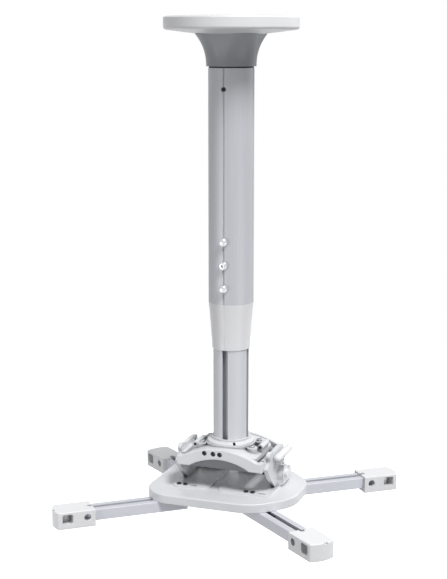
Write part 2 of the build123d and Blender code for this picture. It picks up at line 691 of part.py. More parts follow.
def band_outline():
    """Front view of an arched band with flat shoulders, drawn as (x, z)."""
    arc_meets_shoulder = math.sqrt(BAND_TOP_ARC_R ** 2 - (SHOULDER_TOP - ROLL_AXIS_Z) ** 2)
    crown = ROLL_AXIS_Z + BAND_TOP_ARC_R
    top = ThreePointArc((-arc_meets_shoulder, SHOULDER_TOP), (0, crown), (arc_meets_shoulder, SHOULDER_TOP))
    under = ThreePointArc((-ARCH_HALF_X, SHOULDER_BOTTOM), (0, ARCH_CROWN), (ARCH_HALF_X, SHOULDER_BOTTOM))
    right = Polyline((arc_meets_shoulder, SHOULDER_TOP), (YOKE_HALF_X, SHOULDER_TOP),
                     (YOKE_HALF_X, SHOULDER_BOTTOM), (ARCH_HALF_X, SHOULDER_BOTTOM))
    left = Polyline((-arc_meets_shoulder, SHOULDER_TOP), (-YOKE_HALF_X, SHOULDER_TOP),
                    (-YOKE_HALF_X, SHOULDER_BOTTOM), (-ARCH_HALF_X, SHOULDER_BOTTOM))
    outline = make_face(top + under + right + left)
    corners = [v for v in outline.vertices() if abs(abs(v.X) - arc_meets_shoulder) < 0.01]
    outline = fillet(corners, SHOULDER_ROUND)
    arch_ends = [v for v in outline.vertices() if abs(abs(v.X) - ARCH_HALF_X) < 0.01]
    return fillet(arch_ends, SHOULDER_ROUND)


def arched_yoke():
    band = front_slab(band_outline(), BAND_IN_Y, BAND_OUT_Y)
    outer_edges = band.faces().sort_by(Axis.Y)[-1].edges()
    band = fillet(outer_edges, BAND_EDGE_ROUND)
    rail = front_slab(ring_sector(RAIL_ARC_R, RAIL_ARC_R - RAIL_T, SHOULDER_IN_X + 1), RAIL_IN_Y, BAND_IN_Y)
    back = band + rail
    front = mirror(back, Plane.XZ)
    body = back + front
    for sign in (-1, 1):
        x0 = sign * SHOULDER_IN_X
        x1 = sign * YOKE_HALF_X
        body += block(x0, x1, -BAND_IN_Y, BAND_IN_Y, SHOULDER_BOTTOM, SHOULDER_TOP)
        body += rod_x(TILT_BOSS_R, x0, x1, 0, TILT_Z)
        body -= rod_x(TILT_PIN_R + RUN_FIT, x0 - sign, x1 + sign, 0, TILT_Z)
    for spot in four_corners((SHOULDER_IN_X + YOKE_HALF_X) / 2, SHOULDER_SCREW_Y):
        body -= spot * disc(SHOULDER_SCREW_R + THREAD_FIT, SHOULDER_TOP, SHOULDER_TOP - 6)
    for x in BAND_HOLES_X:
        body -= rod_y(BAND_HOLE_R, -BAND_OUT_Y - 1, -BAND_OUT_Y + BAND_HOLE_DEPTH, x, BAND_HOLE_Z)
    guide_hole = GUIDE_SCREW_R + THREAD_FIT
    return body - rod_x(guide_hole, -YOKE_HALF_X - 1, -SHOULDER_IN_X + 1, GUIDE_RADIUS, TILT_Z)


def shoulder_screws():
    """Headless screws, flush with the tops of the yoke's shoulders."""
    body = disc(SHOULDER_SCREW_R, SHOULDER_TOP - 0.4, SHOULDER_TOP - 6)
    body -= Pos(0, 0, SHOULDER_TOP - 0.4) * hex_socket(2.0, 2.5)
    return [spot * body for spot in four_corners((SHOULDER_IN_X + YOKE_HALF_X) / 2, SHOULDER_SCREW_Y)]


# Tilt joint and cradle

def cheek_outline():
    """Side view of a cheek with its claw at the front, drawn as (y, z)."""
    points = [(CHEEK_FRONT_Y, BASE_TOP)]
    points += [(y, TILT_Z + rise) for y, rise in zip(CHEEK_EDGE_Y, CHEEK_EDGE_RISE)]
    points += [(CHEEK_BACK_Y, BASE_TOP)]
    return make_face(FilletPolyline(*points, radius=CHEEK_KNEE_ROUND, close=True))


def pad_slab(span):
    middle = (span[0] + span[1]) / 2
    outline = Pos(middle, 0) * RectangleRounded(span[1] - span[0], 2 * PAD_HALF_Y, PAD_ROUND)
    return slab(outline, PAD_TOP, BASE_TOP)


def rear_wall(sign, span):
    """An upright wall along the back edge of a foot plate."""
    inner = span[0] if sign > 0 else span[1]
    outer = sign * (abs(span[1] if sign > 0 else span[0]) - PAD_ROUND)
    x0, x1 = sorted((inner, outer))
    wall = block(x0, x1, PAD_HALF_Y - REAR_WALL_T, PAD_HALF_Y, BASE_TOP, REAR_WALL_TOP)
    return fillet(wall.edges().filter_by(Axis.Y).group_by(Axis.Z)[-1], REAR_WALL_ROUND)


def pad_holes(screw_xs):
    return [Pos(x, sy * PAD_SCREW_Y, 0) for x in screw_xs for sy in (-1, 1)]


def cheek(sign, span, screw_xs, slot_x):
    x0, x1 = sorted((sign * CHEEK_IN_X, sign * CHEEK_OUT_X))
    body = side_slab(cheek_outline(), x0, x1) + pad_slab(span) + rear_wall(sign, span)
    body -= rod_x(TILT_PIN_R + THREAD_FIT, x0 - 1, x1 + 1, 0, TILT_Z)
    for spot in pad_holes(screw_xs):
        body -= spot * disc(PAD_SCREW_R + TOUCH, PAD_TOP, BASE_TOP)
    slot = RectangleRounded(PAD_SLOT_LENGTH, PAD_SLOT_W, PAD_SLOT_W / 2 - 0.05)
    return body - slab(Pos(slot_x, -PAD_SCREW_Y) * slot, PAD_TOP, BASE_TOP)


def guide_slot():
    """An arc slot about the tilt axis that lets the guide screw pass, drawn as (y, z)."""
    centre = Pos(0, TILT_Z)
    arc = centre * (Circle(GUIDE_RADIUS + GUIDE_SLOT_R) - Circle(GUIDE_RADIUS - GUIDE_SLOT_R))
    reach = GUIDE_RADIUS * 2
    rise = reach * math.tan(math.radians(GUIDE_SWEEP))
    arc &= centre * make_face(Polyline((0, 0), (reach, -rise), (reach, rise), close=True))
    for turn in (-GUIDE_SWEEP, GUIDE_SWEEP):
        arc += centre * Rot(0, 0, turn) * Pos(GUIDE_RADIUS, 0) * Circle(GUIDE_SLOT_R)
    return arc


def left_cheek():
    body = cheek(-1, LEFT_PAD, LEFT_PAD_SCREWS, LEFT_PAD_SCREWS[1] + LEFT_SLOT_SHIFT)
    return body - side_slab(guide_slot(), -CHEEK_OUT_X - 1, -CHEEK_IN_X + 1)


def right_cheek():
    return cheek(1, RIGHT_PAD, RIGHT_PAD_SCREWS, RIGHT_PAD_SCREWS[1] + RIGHT_SLOT_SHIFT)


def cradle_screws():
    length = PAD_T + BASE_SKIN + 4
    screw = cap_screw(PAD_SCREW_R, length, PAD_SCREW_HEAD_R, PAD_SCREW_HEAD_T, 0.4)
    spots = pad_holes(LEFT_PAD_SCREWS) + pad_holes(RIGHT_PAD_SCREWS)
    return [Pos(0, 0, PAD_TOP) * spot * screw for spot in spots]


def tilt_pin(sign):
    """A pin fixed in a cheek and running in the yoke; the right one also carries the lever."""
    outer = CHEEK_OUT_X + (LEVER_HUB_T + 2 * BODY_GAP if sign > 0 else TOUCH)
    x0 = sign * (SHOULDER_IN_X + 1)
    body = rod_x(TILT_PIN_R, x0, sign * outer, 0, TILT_Z)
    return body + rod_x(PIN_CAP_R, sign * outer, sign * (outer + PIN_CAP_T), 0, TILT_Z)


def tilt_guide_screw():
    head_start = CHEEK_OUT_X + BODY_GAP
    body = rod_x(GUIDE_SCREW_R, -SHOULDER_IN_X - 1, -head_start, GUIDE_RADIUS, TILT_Z)
    return body + rod_x(2 * GUIDE_SCREW_R, -head_start, -head_start - 3, GUIDE_RADIUS, TILT_Z)


def tilt_lever():
    hub_start = CHEEK_OUT_X + BODY_GAP
    hub_end = hub_start + LEVER_HUB_T
    bar_x = (hub_start + hub_end) / 2 + 1
    bar_z = TILT_Z + LEVER_BAR_RISE
    body = rod_x(LEVER_HUB_R, hub_start, hub_end, 0, TILT_Z)
    body += rod_y(LEVER_BAR_R, LEVER_BAR_FRONT, LEVER_BAR_BACK, bar_x, bar_z)
    for end in (LEVER_BAR_FRONT, LEVER_BAR_BACK):
        body += Pos(bar_x, end, bar_z) * Sphere(LEVER_BAR_R)
    body -= rod_x(PIN_CAP_R + BODY_GAP, hub_end + BODY_GAP, hub_end + 12, 0, TILT_Z)
    return body - rod_x(TILT_PIN_R + RUN_FIT, hub_start - 1, hub_end + 12, 0, TILT_Z)


def release_housing():
    x0 = CHEEK_OUT_X
    x1 = CHEEK_OUT_X + HOUSING_T
    front = Pos(HOUSING_FRONT_Y, HOUSING_FRONT_Z) * Circle(HOUSING_FRONT_R)
    back = Pos(HOUSING_BACK_Y, HOUSING_BACK_Z) * Circle(HOUSING_BACK_R)
    foot_front = HOUSING_FRONT_Y - HOUSING_FRONT_R + 2.5
    foot_back = HOUSING_BACK_Y + HOUSING_BACK_R - 2.5
    foot = Pos((foot_front + foot_back) / 2, (PAD_TOP + HOUSING_BACK_Z) / 2)
    foot *= Rectangle(foot_back - foot_front, HOUSING_BACK_Z - PAD_TOP)
    outline = front + back + foot
    body = side_slab(outline, x0, x1 - HOUSING_STEP)
    body += side_slab(offset(outline, -HOUSING_STEP), x1 - HOUSING_STEP, x1)
    bore_start = x1 - BUTTON_DEPTH - BUTTON_TRAVEL - BODY_GAP
    return body - rod_x(BUTTON_R + RUN_FIT, bore_start, x1 + 1, HOUSING_FRONT_Y, HOUSING_FRONT_Z)


def release_button():
    face = CHEEK_OUT_X + HOUSING_T
    body = rod_x(BUTTON_R, face - BUTTON_DEPTH, face + BUTTON_PROUD, HOUSING_FRONT_Y, HOUSING_FRONT_Z)
    return fillet(body.edges().group_by(Axis.X)[-1], 1.5)


# Base plate

def base_outline(inset):
    """The plate seen from above: its right corners are cut deeper than its left ones."""
    x = BASE_HALF_X - inset
    y = BASE_HALF_Y - inset
    left = BASE_LEFT_CHAMFER - inset * (2 - math.sqrt(2))
    right = BASE_RIGHT_CHAMFER - inset * (2 - math.sqrt(2))
    points = [(x, y - right), (x - right, y), (left - x, y), (-x, y - left),
              (-x, left - y), (left - x, -y), (x - right, -y), (x, right - y)]
    outline = make_face(Polyline(*points, close=True))
    for sign, radius in ((-1, BASE_LEFT_ROUND), (1, BASE_RIGHT_ROUND)):
        corners = [v for v in outline.vertices() if sign * v.X > 0]
        outline = fillet(corners, radius - inset)
    return outline


def pivot_spots():
    return [Rot(0, 0, angle) * Pos(PIVOT_RADIUS, 0, 0) for angle in ARM_ANGLES]


def base_plate():
    body = slab(base_outline(0), BASE_TOP, BASE_BOTTOM)
    body = fillet(body.edges().group_by(Axis.Z)[-1], BASE_EDGE_ROUND)
    roof = BASE_TOP - BASE_SKIN
    hollow = slab(base_outline(BASE_SKIRT), roof, BASE_BOTTOM)
    for spot in pivot_spots():
        hollow -= spot * disc(PIVOT_BOSS_R, roof, BASE_BOTTOM)
    for sign in (-1, 1):
        rib_x = sign * BASE_RIB_X
        rib_y = sign * BASE_RIB_Y
        half = BASE_RIB_T / 2
        hollow -= block(rib_x - half, rib_x + half, -BASE_HALF_Y, BASE_HALF_Y, BASE_BOTTOM, roof)
        hollow -= block(-BASE_HALF_X, BASE_HALF_X, rib_y - half, rib_y + half, BASE_BOTTOM, roof)
    screw_spots = pad_holes(LEFT_PAD_SCREWS) + pad_holes(RIGHT_PAD_SCREWS)
    for spot in screw_spots:
        hollow -= spot * disc(PAD_SCREW_R + 2.5, roof, roof - 5)
    body -= hollow
    for spot in screw_spots:
        body -= spot * disc(PAD_SCREW_R + THREAD_FIT, BASE_TOP, roof - 5)
    for spot in pivot_spots():
        body -= spot * disc(ARM_SCREW_R + THREAD_FIT, ARM_SCREW_TOP, BASE_BOTTOM)
    return body


def arm_screws():
    """Shoulder screws that hang the slide blocks under the base plate."""
    head_top = BLOCK_BOTTOM - BODY_GAP
    screw = cap_screw(ARM_SCREW_R, ARM_SCREW_TOP - head_top, ARM_SCREW_HEAD_R, ARM_SCREW_HEAD_T)
    upside_down = Pos(0, 0, head_top) * Rot(180, 0, 0)
    return [spot * upside_down * screw for spot in pivot_spots()]


# Arms and feet, drawn along +X and turned to their angles

def slide_block():
    half = ARM_W / 2 - ARM_SIDE_WALL - BODY_GAP
    x = PIVOT_RADIUS
    body = block(x - BLOCK_LENGTH / 2, x + BLOCK_LENGTH / 2, -half, half, BLOCK_BOTTOM, BLOCK_TOP)
    nose_half = ARM_SLOT_W / 2 - BODY_GAP
    nose_top = ARM_TOP - 2 * BODY_GAP
    body += block(x - NOSE_LENGTH / 2, x + NOSE_LENGTH / 2, -nose_half, nose_half, BLOCK_TOP, nose_top)
    return body - disc(ARM_SCREW_R + RUN_FIT, nose_top, BLOCK_BOTTOM, x)


def arm(foot_start):
    end = foot_start + ARM_INTO_FOOT
    start = end - ARM_LENGTH
    half = ARM_W / 2
    body = block(start, end, -half, half, ARM_BOTTOM, ARM_TOP)
    body = fillet(body.edges().filter_by(Axis.X), 1.0)
    cavity_half = half - ARM_SIDE_WALL
    body -= block(start, end, -cavity_half, cavity_half, CAVITY_BOTTOM, CAVITY_TOP)
    slot_start = start + ARM_SLOT_START
    slot_end = foot_start + ARM_SLOT_INTO_FOOT
    slot_middle = Pos((slot_start + slot_end) / 2, 0)
    length = slot_end - slot_start
    body -= slab(slot_middle * SlotOverall(length, ARM_SLOT_W), ARM_TOP, CAVITY_TOP)
    body -= slab(slot_middle * SlotOverall(length, ARM_FLOOR_SLOT_W), CAVITY_BOTTOM, ARM_BOTTOM)
    hole_x = foot_start + SIDE_HOLE_FROM_START
    return body - rod_y(SIDE_HOLE_R, -half, half, hole_x, (ARM_TOP + ARM_BOTTOM) / 2)


def foot_outline(length, width, bulge, corner):
    """A foot seen from above: square at the arm and rounded at the far end."""
    half = width / 2
    side = Polyline((length - bulge, half), (0, half), (0, -half), (length - bulge, -half))
    nose = ThreePointArc((length - bulge, -half), (length, 0), (length - bulge, half))
    outline = make_face(side + nose)
    far = [v for v in outline.vertices() if v.X > 1]
    return fillet(far, corner)


def foot(foot_start):
    place = Pos(foot_start, 0)
    body = slab(place * foot_outline(FOOT_LENGTH, FOOT_W, FOOT_BULGE, FOOT_CORNER), FOOT_TOP, FOOT_BOTTOM)
    body = fillet(body.faces().sort_by(Axis.Z)[-1].edges(), FOOT_EDGE_ROUND)
    socket_half = ARM_W / 2 + TOUCH / 2
    body -= block(foot_start - 1, foot_start + ARM_INTO_FOOT + TOUCH, -socket_half, socket_half,
                  ARM_BOTTOM - TOUCH / 2, ARM_TOP + TOUCH / 2)
    notch_x = foot_start + ARM_SLOT_INTO_FOOT - ARM_SLOT_W / 2
    notch = block(foot_start - 1, notch_x, -ARM_SLOT_W / 2, ARM_SLOT_W / 2, ARM_TOP, FOOT_TOP + 1)
    body -= notch + disc(ARM_SLOT_W / 2, FOOT_TOP + 1, ARM_TOP, notch_x)
    hole_x = foot_start + SIDE_HOLE_FROM_START
    arm_middle = (ARM_TOP + ARM_BOTTOM) / 2
    body -= rod_y(SIDE_HOLE_R, -FOOT_W, FOOT_W, hole_x, arm_middle)
    window_x = foot_start + FOOT_LENGTH - WINDOW_FROM_END
    window = Pos(window_x, arm_middle) * RectangleRounded(WINDOW_LENGTH, WINDOW_H, WINDOW_ROUND)
    body -= front_slab(window, -FOOT_W, FOOT_W)
    body -= disc(INSERT_NECK_R + RUN_FIT, arm_middle, FOOT_BOTTOM, window_x)
    end_x = foot_start + FOOT_LENGTH
    return body - block(end_x - TOP_NOTCH_DEPTH, end_x + 1, 0, TOP_NOTCH_W, FOOT_TOP - 2, FOOT_TOP + 1)


def foot_insert(foot_start):
    """The thumb nut that takes the projector's stud. It turns in the foot's window and floor."""
    x = foot_start + FOOT_LENGTH - WINDOW_FROM_END
    arm_middle = (ARM_TOP + ARM_BOTTOM) / 2
    top = arm_middle + WINDOW_H / 2 - TOUCH
    floor = arm_middle - WINDOW_H / 2 + TOUCH
    bottom = FOOT_BOTTOM + INSERT_RECESS
    wheel = disc(INSERT_R, top, floor, x)
    wheel = chamfer(wheel.edges().filter_by(GeomType.CIRCLE), INSERT_CHAMFER)
    nut = wheel + disc(INSERT_NECK_R, floor + INSERT_CHAMFER, bottom, x)
    return nut - disc(INSERT_BORE_R, top - INSERT_CAP_T, bottom, x)


def save_arms():
    for name, angle, foot_start in zip(ARM_NAMES, ARM_ANGLES, FOOT_STARTS):
        turn = Rot(0, 0, angle)
        save(f"slide_block_{name}", turn * slide_block())
        save(f"arm_{name}", turn * arm(foot_start))
        save(f"foot_{name}", turn * foot(foot_start))
        save(f"foot_insert_{name}", turn * foot_insert(foot_start))


def main():
    os.makedirs("parts", exist_ok=True)
    save("ceiling_plate", ceiling_plate())
    save("tube_socket", tube_socket())
    save_group("socket_screws", socket_screws())
    save("ceiling_cover", ceiling_cover())
    save("neck_fairing", neck_fairing())
    save("tube_gasket", tube_gasket())
    save("outer_tube", outer_tube())
    save("tube_lock_screw", tube_lock_screw())
    save("tube_collar", tube_collar())
    save_group("clamp_bolts", [clamp_bolt(height) for height in CLAMP_HEIGHTS])
    save_group("clamp_nuts", [clamp_nut(height) for height in CLAMP_HEIGHTS])
    save("inner_column", inner_column())
    save("guide_bush", guide_bush())
    save("swivel_collar", swivel_collar())
    save("swivel_set_screw", swivel_set_screw())
    save("swivel_retainer", swivel_retainer())
    save_group("retainer_screws", retainer_screws())
    save("roll_saddle", roll_saddle())
    save("roll_shoe", roll_shoe())
    save_group("saddle_screws", saddle_screws())
    save_group("adjuster_screws", adjuster_screws())
    save("arched_yoke", arched_yoke())
    save_group("shoulder_screws", shoulder_screws())
    save("tilt_guide_screw", tilt_guide_screw())
    save("left_cheek", left_cheek())
    save("right_cheek", right_cheek())
    save_group("cradle_screws", cradle_screws())
    save("left_tilt_pin", tilt_pin(-1))
    save("right_tilt_pin", tilt_pin(1))
    save("tilt_lever", tilt_lever())
    save("release_housing", release_housing())
    save("release_button", release_button())
    save("base_plate", base_plate())
    save_group("arm_screws", arm_screws())
    save_arms()


main()
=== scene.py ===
"""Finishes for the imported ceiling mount, its finely shaped small pieces, a stage and a camera."""

import json
import math

import bmesh
import bpy
from mathutils import Matrix, Vector


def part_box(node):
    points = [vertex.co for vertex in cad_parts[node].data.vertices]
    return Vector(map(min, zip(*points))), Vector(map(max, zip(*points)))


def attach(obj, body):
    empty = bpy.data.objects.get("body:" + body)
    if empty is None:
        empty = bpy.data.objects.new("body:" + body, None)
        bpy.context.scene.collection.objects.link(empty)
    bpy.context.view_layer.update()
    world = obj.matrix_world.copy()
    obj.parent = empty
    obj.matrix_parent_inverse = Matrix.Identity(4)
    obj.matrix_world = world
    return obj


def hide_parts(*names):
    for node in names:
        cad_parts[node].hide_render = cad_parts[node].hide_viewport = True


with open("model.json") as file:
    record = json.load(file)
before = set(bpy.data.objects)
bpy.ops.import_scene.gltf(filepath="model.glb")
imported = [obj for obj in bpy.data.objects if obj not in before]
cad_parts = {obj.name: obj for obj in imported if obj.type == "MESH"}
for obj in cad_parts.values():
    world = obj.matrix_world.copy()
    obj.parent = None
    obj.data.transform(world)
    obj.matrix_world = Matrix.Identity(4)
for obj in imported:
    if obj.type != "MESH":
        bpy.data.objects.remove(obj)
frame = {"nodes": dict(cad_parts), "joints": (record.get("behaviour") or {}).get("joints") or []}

bl_info = {
    "name": "Ceiling Mount Finishes",
    "version": (1, 0, 0),
    "blender": (4, 5, 0),
    "location": "View3D > Sidebar > Ceiling Mount",
    "description": "Dresses a telescopic ceiling mount with its paint, plastic, metal and small hardware",
    "category": "Object",
}

ARMS = ("back_right", "back_left", "front_left", "front_right")

# Distances under which two vertices count as one, in metres
WELD = 1e-6
SPIN_WELD = 1e-7

# Facets round a turned piece, and round its domed rim
TURNED_STEPS = 48
RIM_STEPS = 8
SHARP_ANGLE = math.radians(32)

# Radius that softens the edges of the small pieces built here
SMALL_EDGE = 0.0003

# Foot screws: neck and bore as shares of the wheel's radius, the neck's height, the plain rims
# above and below the ridges with a groove beside each, the bore's blind end, and broken edges
SCREW_NECK_SHARE = 0.72
SCREW_BORE_SHARE = 0.47
SCREW_NECK_HEIGHT = 0.0066
SCREW_RIM = 0.0026
SCREW_GROOVE_DEPTH = 0.0007
SCREW_GROOVE_FLAT = 0.0005
SCREW_GROOVE_MOUTH = 0.0011
SCREW_BORE_ROOF = 0.0022
SCREW_BORE_TIP = 0.0028
SCREW_CHAMFER = 0.0012
SCREW_FOOT_CHAMFER = 0.0010
SCREW_BREAK = 0.0004

# Clamp bolts: shank, rounding of the dome, and the middle bolt with its hexagon socket
BOLT_SHANK_R = 0.003
BOLT_DOME = 0.0055
SOCKET_BOLT_SHARE = 0.94
SOCKET_BOLT_HEIGHT = 0.0050
SOCKET_BOLT_DOME = 0.0030
SOCKET_ACROSS = 0.0042
SOCKET_DEPTH_SHARE = 0.6

# Studio: floor, the white seen round the part, the soft light of the sky, camera and lamps.
# Every lamp is a soft disc, given by its place, aim, width and watts.
FLOOR_RADIUS = 2.6
FLOOR_HEIGHT = -1.05
FLOOR_FACETS = 96
PAPER_GLOW = 0.8
PAPER_BOUNCE = (0.10, 0.10, 0.10, 1)
SKY_COLOUR = (0.93, 0.95, 1.0, 1)
SKY_STRENGTH = 0.25
WHITE = (1, 1, 1, 1)
CAMERA_X, CAMERA_Y = 0.6197, -1.7347
CAMERA_PITCH = math.radians(90 - 10.8)
CAMERA_YAW = math.radians(20)
COLUMN_AIM = (0, 0, -0.42)
HEAD_AIM = (0, 0, -0.55)
BASE_AIM = (0, 0, -0.65)
LAMPS = {
    "key_light": ((1.85, -1.45, 3.45), COLUMN_AIM, 1.4, 192),
    "side_light": ((0.95, -0.35, -0.62), HEAD_AIM, 0.5, 1.7),
    "fill_light": ((-0.62, -0.98, -0.62), BASE_AIM, 0.6, 4.2),
    "back_light": ((1.70, 2.20, 1.00), COLUMN_AIM, 1.2, 20),
}


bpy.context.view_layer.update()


# Measures taken from the frame

def middle(node):
    """The centre of a node's box."""
    low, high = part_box(node)
    return (Vector(low) + Vector(high)) / 2


def extent(node):
    """The three sides of a node's box."""
    low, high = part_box(node)
    return Vector(high) - Vector(low)


def arm_direction(name):
    """The way an arm points, from its slide joint."""
    for joint in frame["joints"]:
        if joint["name"] == f"slide_{name}":
            return Vector(joint["axis"]).normalized()
    raise RuntimeError(f"the frame has no slide joint for {name}")


def arm_turn(name):
    """The angle of an arm seen from above."""
    way = arm_direction(name)
    return math.atan2(way.y, way.x)


# Sizes and colours a user may change

def length(name, text, value):
    return bpy.props.FloatProperty(
        name=name, description=text, default=value, min=0.0001, unit="LENGTH")


def colour(name, text, value):
    return bpy.props.FloatVectorProperty(
        name=name, description=text, default=value, size=3, min=0.0, max=1.0, subtype="COLOR")


class MountSizes(bpy.types.PropertyGroup):
    edge_round: length("Cast edge", "Radius that softens the edges of the castings", 0.0011)
    tube_edge: length("Tube edge", "Radius that softens the ends of the tubes", 0.0005)
    knurl_depth: length("Knurl depth", "Depth of the knurling on the foot screws", 0.0003)
    bolt_radius: length("Bolt radius", "Radius of the clamp bolts' domed heads", 0.0068)
    bolt_height: length("Bolt height", "Height of the clamp bolts' domed heads", 0.0070)
    camera_height: bpy.props.FloatProperty(
        name="Camera height", description="Height of the camera above the ceiling plate's top",
        default=-0.0346, unit="LENGTH")
    camera_lens: bpy.props.FloatProperty(
        name="Lens", description="Focal length of the camera in millimetres", default=80.83, min=10.0)
    knurl_count: bpy.props.IntProperty(
        name="Knurls", description="Ridges round each foot screw", default=24, min=8, subtype="UNSIGNED")


class MountColours(bpy.types.PropertyGroup):
    cover: colour("Cover", "Moulded ceiling cover", (0.84, 0.84, 0.85))
    # Partly the fairing's own grey and partly painted shade: darker to stand for the cover's shadow on it.
    neck: colour("Neck", "Flared fairing under the cover", (0.27, 0.28, 0.30))
    tube: colour("Tube", "Painted outer tube", (0.53, 0.54, 0.57))
    column: colour("Column", "Inner column", (0.58, 0.59, 0.62))
    casting: colour("Casting", "Painted cast parts of the head and base", (0.68, 0.69, 0.71))
    shoe: colour("Shoe", "Dark block under the yoke", (0.16, 0.165, 0.18))
    arm: colour("Arm", "Anodised arms", (0.60, 0.61, 0.66))
    moulding: colour("Moulding", "White moulded feet, lever and collar", (0.78, 0.78, 0.79))
    # Partly the screws' own white and partly painted light: lighter than the other mouldings to lift them
    # out of the shade inside the foot windows.
    foot_screw: colour("Foot screws", "Moulded screws in the feet", (0.92, 0.92, 0.92))
    bolt: colour("Clamp bolts", "Zinc-plated clamp bolts", (0.58, 0.58, 0.60))
    steel: colour("Steel", "Bare and plated steel", (0.62, 0.62, 0.63))
    zinc: colour("Zinc", "Zinc-plated screws of the saddle", (0.40, 0.40, 0.42))
    dark_steel: colour("Dark steel", "Blackened screws", (0.03, 0.03, 0.035))
    rubber: colour("Rubber", "Gasket under the neck", (0.02, 0.02, 0.022))
    floor: colour("Floor", "Studio floor", (0.85, 0.85, 0.85))


# Materials

def new_finish(name):
    """A material with its Principled shader and object coordinates ready to use."""
    material = bpy.data.materials.new(name)
    material.use_nodes = True
    tree = material.node_tree
    shader = tree.nodes["Principled BSDF"]
    coordinates = tree.nodes.new("ShaderNodeTexCoord")
    return material, tree, shader, coordinates.outputs["Object"]


def mapped(tree, source, scale=(1, 1, 1), turn=(0, 0, 0)):
    mapping = tree.nodes.new("ShaderNodeMapping")
    mapping.inputs["Scale"].default_value = scale
    mapping.inputs["Rotation"].default_value = turn
    tree.links.new(source, mapping.inputs["Vector"])
    return mapping.outputs["Vector"]


def noise(tree, source, scale, detail=3.0, roughness=0.5):
    texture = tree.nodes.new("ShaderNodeTexNoise")
    texture.inputs["Scale"].default_value = scale
    texture.inputs["Detail"].default_value = detail
    texture.inputs["Roughness"].default_value = roughness
    tree.links.new(source, texture.inputs["Vector"])
    return texture.outputs["Fac"]


def ramp(tree, source, low, high, start=0.3, end=0.7):
    """A colour ramp from low to high between two values of the source."""
    node = tree.nodes.new("ShaderNodeValToRGB")
    node.color_ramp.elements[0].position = start
    node.color_ramp.elements[1].position = end
    node.color_ramp.elements[0].color = (*low, 1)
    node.color_ramp.elements[1].color = (*high, 1)
    tree.links.new(source, node.inputs["Fac"])
    return node.outputs["Color"]


def tinted(value, factor):
    return tuple(min(channel * factor, 1.0) for channel in value)


def vary_colour(tree, shader, source, value, spread):
    link = ramp(tree, source, tinted(value, 1 - spread), tinted(value, 1 + spread))
    tree.links.new(link, shader.inputs["Base Color"])


def vary_roughness(tree, shader, source, low, high):
    spread = tree.nodes.new("ShaderNodeMapRange")
    spread.inputs["From Min"].default_value = 0.3
    spread.inputs["From Max"].default_value = 0.7
    spread.inputs["To Min"].default_value = low
    spread.inputs["To Max"].default_value = high
    tree.links.new(source, spread.inputs["Value"])
    tree.links.new(spread.outputs["Result"], shader.inputs["Roughness"])


def soft_edges(tree, shader, radius, height=None, strength=0.1, distance=0.0002):
    """Rounds sharp edges for the light, and adds a fine relief on top where a height is given."""
    bevel = tree.nodes.new("ShaderNodeBevel")
    bevel.samples = 6
    bevel.inputs["Radius"].default_value = radius
    normal = bevel.outputs["Normal"]
    if height is not None:
        bump = tree.nodes.new("ShaderNodeBump")
        bump.inputs["Strength"].default_value = strength
        bump.inputs["Distance"].default_value = distance
        tree.links.new(height, bump.inputs["Height"])
        tree.links.new(normal, bump.inputs["Normal"])
        normal = bump.outputs["Normal"]
    tree.links.new(normal, shader.inputs["Normal"])


def paint_crevice_shade(tree, shader, reach, deepest_shade):
    """Paints shade into the colour where a piece's own walls stand within reach of each other: painted
    shade in its slots, recesses and gaps.

    The deepest shade is the share of the colour that is left deep inside a crevice.
    """
    finish = shader.inputs["Base Color"].links[0].from_socket
    openness = tree.nodes.new("ShaderNodeAmbientOcclusion")
    openness.samples = 8
    openness.only_local = True
    openness.inputs["Distance"].default_value = reach
    spread = tree.nodes.new("ShaderNodeMapRange")
    spread.inputs["From Min"].default_value = 0.30
    spread.inputs["From Max"].default_value = 0.92
    spread.inputs["To Min"].default_value = deepest_shade
    spread.inputs["To Max"].default_value = 1.0
    # The colour is mixed towards black as the piece's own walls close in: painted shade.
    blend = tree.nodes.new("ShaderNodeMix")
    blend.data_type = "RGBA"
    share, shade_black, full = blend.inputs[0], blend.inputs[6], blend.inputs[7]
    shade_black.default_value = (0, 0, 0, 1)
    tree.links.new(openness.outputs["AO"], spread.inputs["Value"])
    tree.links.new(spread.outputs["Result"], share)
    tree.links.new(finish, full)
    tree.links.new(blend.outputs[2], shader.inputs["Base Color"])


def powder_paint(name, value, edge, gloss=0.38):
    """Stoved powder paint on a casting: a faint orange peel and slightly uneven gloss."""
    material, tree, shader, place = new_finish(name)
    broad = noise(tree, place, 26, 4)
    peel = noise(tree, place, 900, 2, 0.6)
    vary_colour(tree, shader, broad, value, 0.018)
    vary_roughness(tree, shader, noise(tree, place, 140, 3), gloss - 0.05, gloss + 0.07)
    shader.inputs["Coat Weight"].default_value = 0.12
    shader.inputs["Coat Roughness"].default_value = 0.3
    # Painted shade: deep in the casting's own recesses and gaps the colour drops to 15 %.
    paint_crevice_shade(tree, shader, reach=0.016, deepest_shade=0.15)
    soft_edges(tree, shader, edge, peel, 0.18, 0.00012)
    return material


def moulded_plastic(name, value, edge, gloss=0.4):
    """Moulded plastic with a fine spark-eroded grain."""
    material, tree, shader, place = new_finish(name)
    vary_colour(tree, shader, noise(tree, place, 18, 3), value, 0.012)
    grain = noise(tree, place, 2200, 2, 0.7)
    vary_roughness(tree, shader, noise(tree, place, 300, 2), gloss - 0.04, gloss + 0.05)
    shader.inputs["IOR"].default_value = 1.47
    # Painted shade: the plastic's colour darkens to 60 % in its own recesses and gaps.
    paint_crevice_shade(tree, shader, reach=0.008, deepest_shade=0.60)
    soft_edges(tree, shader, edge, grain, 0.12, 0.00006)
    return material


